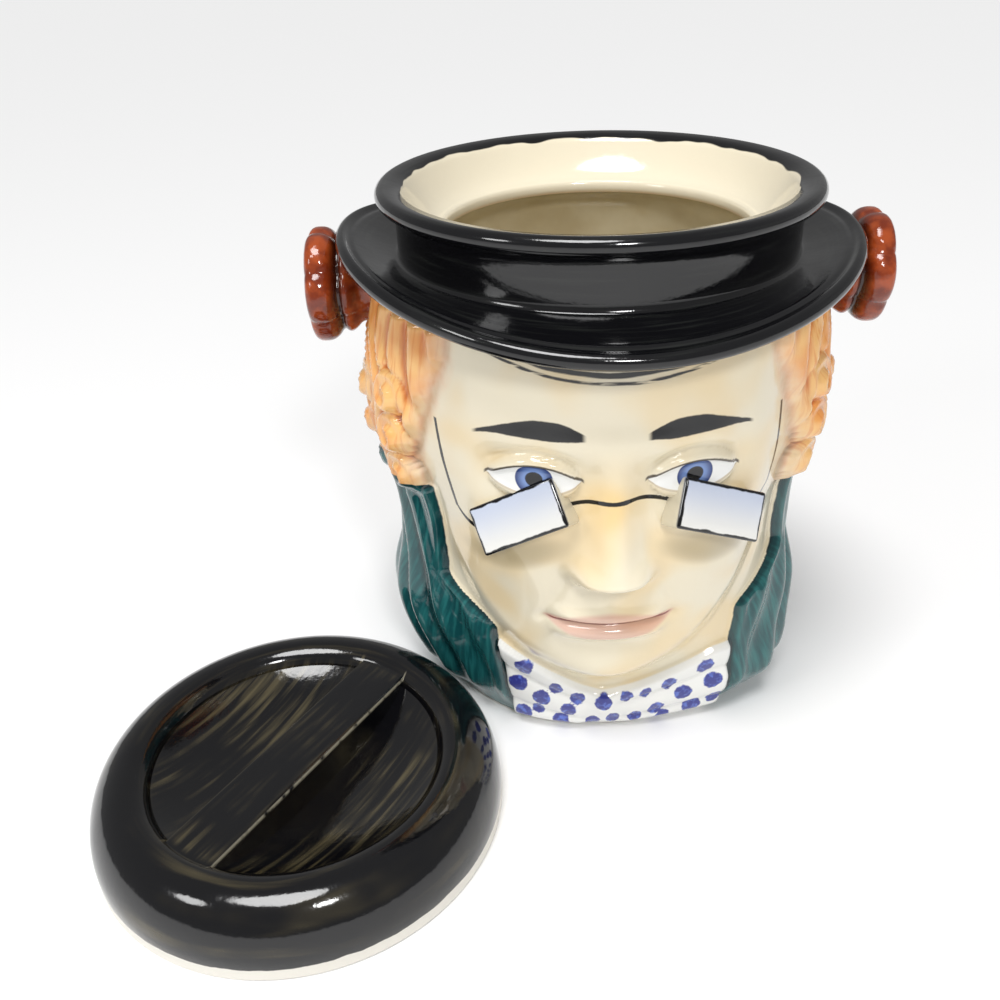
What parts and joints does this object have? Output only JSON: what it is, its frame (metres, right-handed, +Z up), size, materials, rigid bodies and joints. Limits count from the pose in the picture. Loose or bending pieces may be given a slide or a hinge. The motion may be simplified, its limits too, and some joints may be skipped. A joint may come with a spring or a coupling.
{
  "type": "character biscuit jar",
  "caption": "Hollow ceramic jar shaped as a head in a brimmed hat, with side lugs and a lift-off round lid with a sunk grip bar.",
  "frame": {"origin": "centre of the flat underside of the jar", "axes": "+Z up through the mouth, the face looks towards -Y, the lugs are on the X axis"},
  "size_m": [0.2495, 0.2113, 0.177],
  "materials": {
    "painted_glaze": "gloss",
    "black_glaze": "gloss"
  },
  "bodies": {
    "root": {"jar_body": "painted_glaze", "lid": "black_glaze"}
  },
  "joints": []
}
